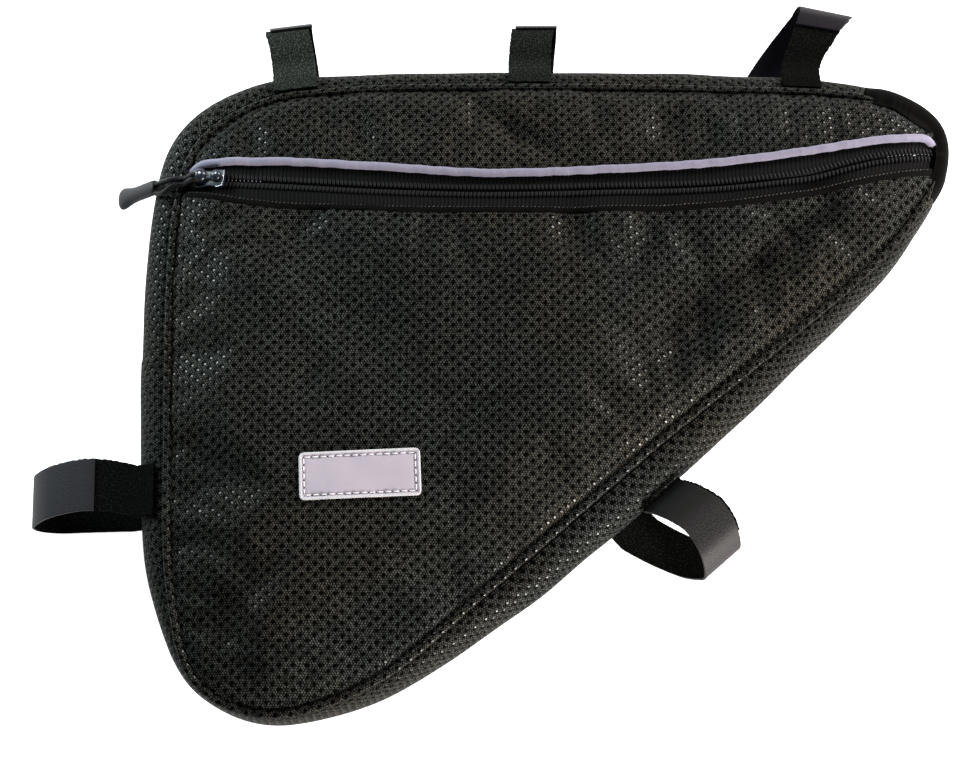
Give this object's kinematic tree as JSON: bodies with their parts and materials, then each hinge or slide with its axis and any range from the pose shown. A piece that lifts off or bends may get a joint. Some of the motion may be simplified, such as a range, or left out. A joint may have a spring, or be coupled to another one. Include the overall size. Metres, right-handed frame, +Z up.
{
  "type": "bicycle frame bag",
  "caption": "Soft three-cornered bag for the front triangle of a bicycle frame, lying on its back, with a zip under reflective piping and hook-and-loop straps.",
  "frame": {"origin": "middle of the bounding box on the surface that the bag lies on", "axes": "+X from the blunt left side towards the narrow tip, +Y from the rounded bottom corner towards the straight top edge, +Z up from the back panel to the zipped front"},
  "size_m": [0.4186, 0.3368, 0.049],
  "materials": {
    "bag_fabric": "black dobby-weave polyester with small woven dots, slightly glossy threads",
    "smooth_fabric": "plain smooth black polyester, matte",
    "reflective_piping": "pale grey reflective cloth over a round cord, finely wrinkled",
    "zip_tape": "black woven zip tape",
    "zip_coil": "black nylon coil",
    "slider_metal": "glossy black enamel on a die-cast slider",
    "pull_cord": "braided dark cord",
    "pull_rubber": "soft dark grey moulded rubber, matte",
    "label": "pale lilac-grey soft moulded patch with a raised rim and a stitched border",
    "loop_tape": "black fuzzy loop side of hook-and-loop tape",
    "hook_tape": "smooth dark grey woven back of hook-and-loop tape"
  },
  "bodies": {
    "root": {"back_panel": "bag_fabric", "gusset": "bag_fabric", "gusset_tip": "smooth_fabric", "front_welt": "bag_fabric", "back_welt": "bag_fabric", "front_lower": "bag_fabric", "front_upper": "bag_fabric", "reflective_piping": "reflective_piping", "zip_tape_upper": "zip_tape", "zip_tape_lower": "zip_tape", "zip_chain": "zip_coil", "zip_slider": "slider_metal", "pull_cord": "pull_cord", "pull_grip": "pull_rubber", "label": "label", "strap_top_left_loop": "loop_tape", "strap_top_left_hook": "hook_tape", "strap_top_middle_loop": "loop_tape", "strap_top_middle_hook": "hook_tape", "strap_top_right_loop": "loop_tape", "strap_top_right_hook": "hook_tape", "strap_side_loop": "loop_tape", "strap_side_hook": "hook_tape", "strap_lower_loop": "loop_tape", "strap_lower_hook": "hook_tape"}
  },
  "joints": []
}
